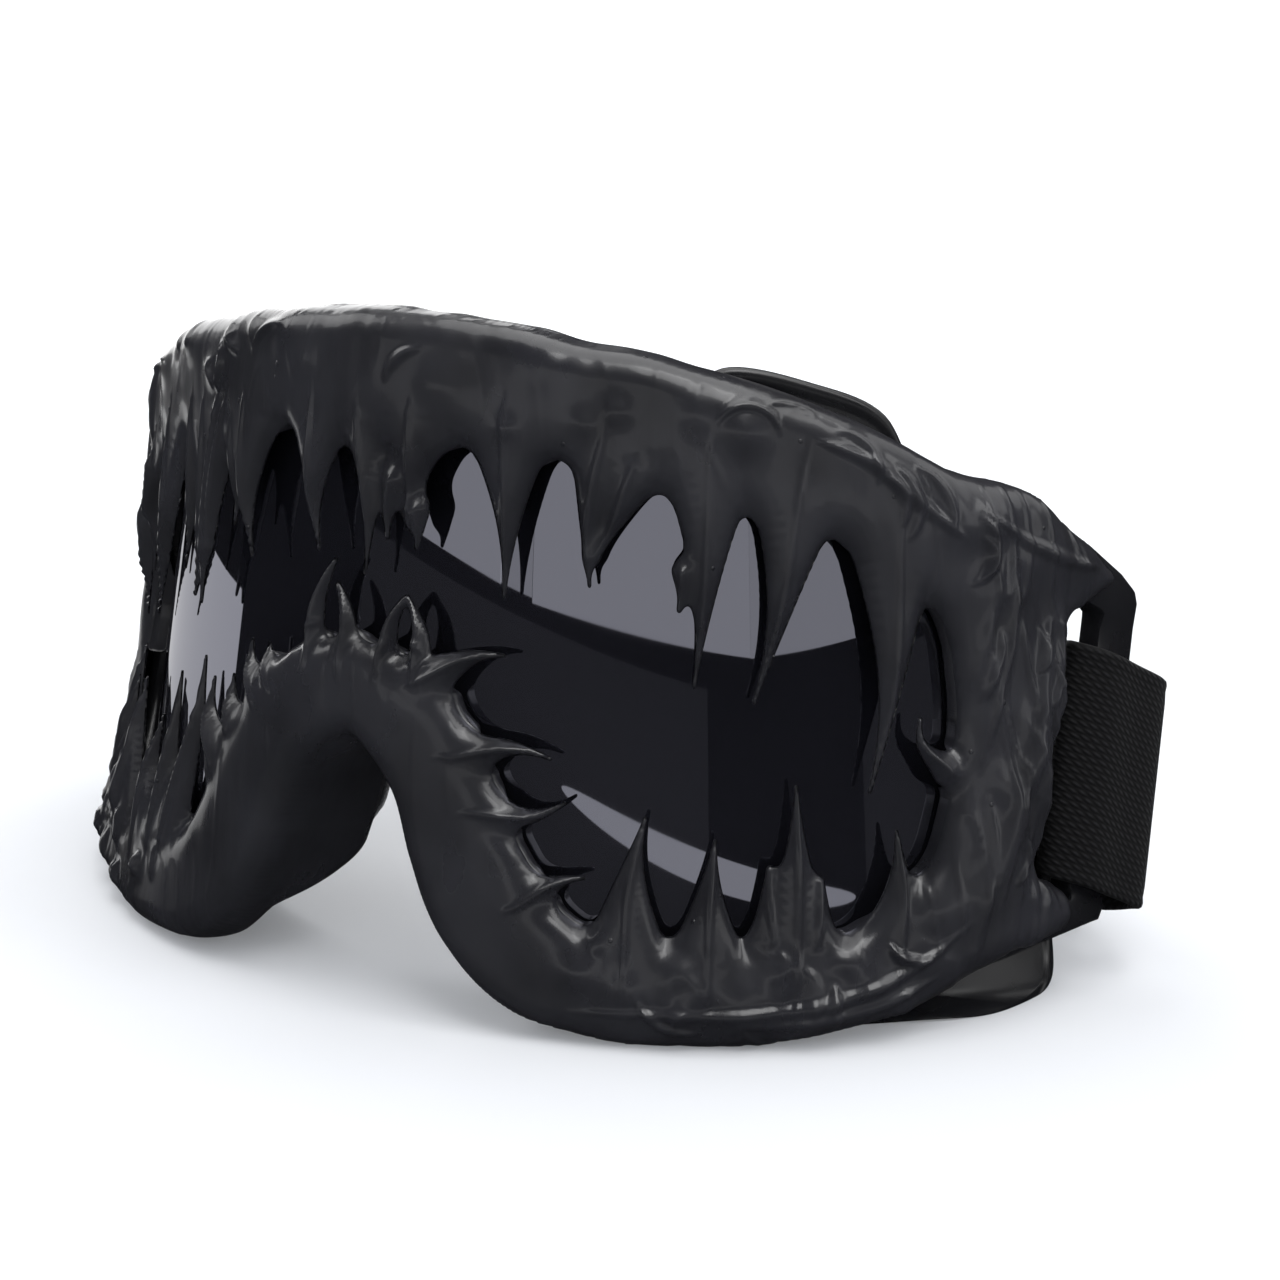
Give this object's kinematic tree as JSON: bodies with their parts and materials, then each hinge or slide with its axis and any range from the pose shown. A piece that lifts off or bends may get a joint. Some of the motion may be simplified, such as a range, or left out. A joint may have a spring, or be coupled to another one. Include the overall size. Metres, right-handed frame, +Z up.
{
  "type": "motorcycle goggles",
  "caption": "Wraparound riding goggles: outer frame with strap arms, double lens, face frame, layered face foam, poured rubber drip coat and elastic strap with sliders.",
  "frame": {"origin": "centre of the bounding box at the surface the goggles stand on", "axes": "+Z up, the wearer looks along -Y, +X is the wearer's left and the longest side"},
  "size_m": [0.1889, 0.11, 0.1008],
  "materials": {
    "frame_plastic": "satin black moulded thermoplastic",
    "lens_smoke": "smoked polycarbonate with a dark mirror gloss",
    "lens_clear": "thin tinted anti-fog pane",
    "foam": "dark open-cell foam",
    "fleece": "black brushed fleece",
    "coat_rubber": "poured satin black rubber with wet highlights",
    "strap_elastic": "black woven elastic",
    "grip_silicone": "dark grey silicone lines",
    "slider_plastic": "satin black moulded acetal"
  },
  "bodies": {
    "goggles": {"outer_frame": "frame_plastic", "lens_outer": "lens_smoke", "lens_inner": "lens_clear", "lens_gasket": "foam", "face_frame": "frame_plastic", "foam_base": "foam", "foam_middle": "foam", "foam_fleece": "fleece", "vent_foam_brow_right": "foam", "vent_foam_brow_middle": "foam", "vent_foam_brow_left": "foam", "vent_foam_cheek_right": "foam", "vent_foam_cheek_left": "foam", "drip_coat": "coat_rubber", "strap_band": "strap_elastic", "strap_grip_upper": "grip_silicone", "strap_grip_lower": "grip_silicone"},
    "slider_left": {"strap_slider_left": "slider_plastic"},
    "slider_right": {"strap_slider_right": "slider_plastic"}
  },
  "joints": [
    {"name": "slider_left_travel", "type": "slide", "parent": "goggles", "child": "slider_left", "axis": [-1, 0, 0], "range_m": [0, 0.012]},
    {"name": "slider_right_travel", "type": "slide", "parent": "goggles", "child": "slider_right", "axis": [1, 0, 0], "range_m": [0, 0.012]}
  ]
}
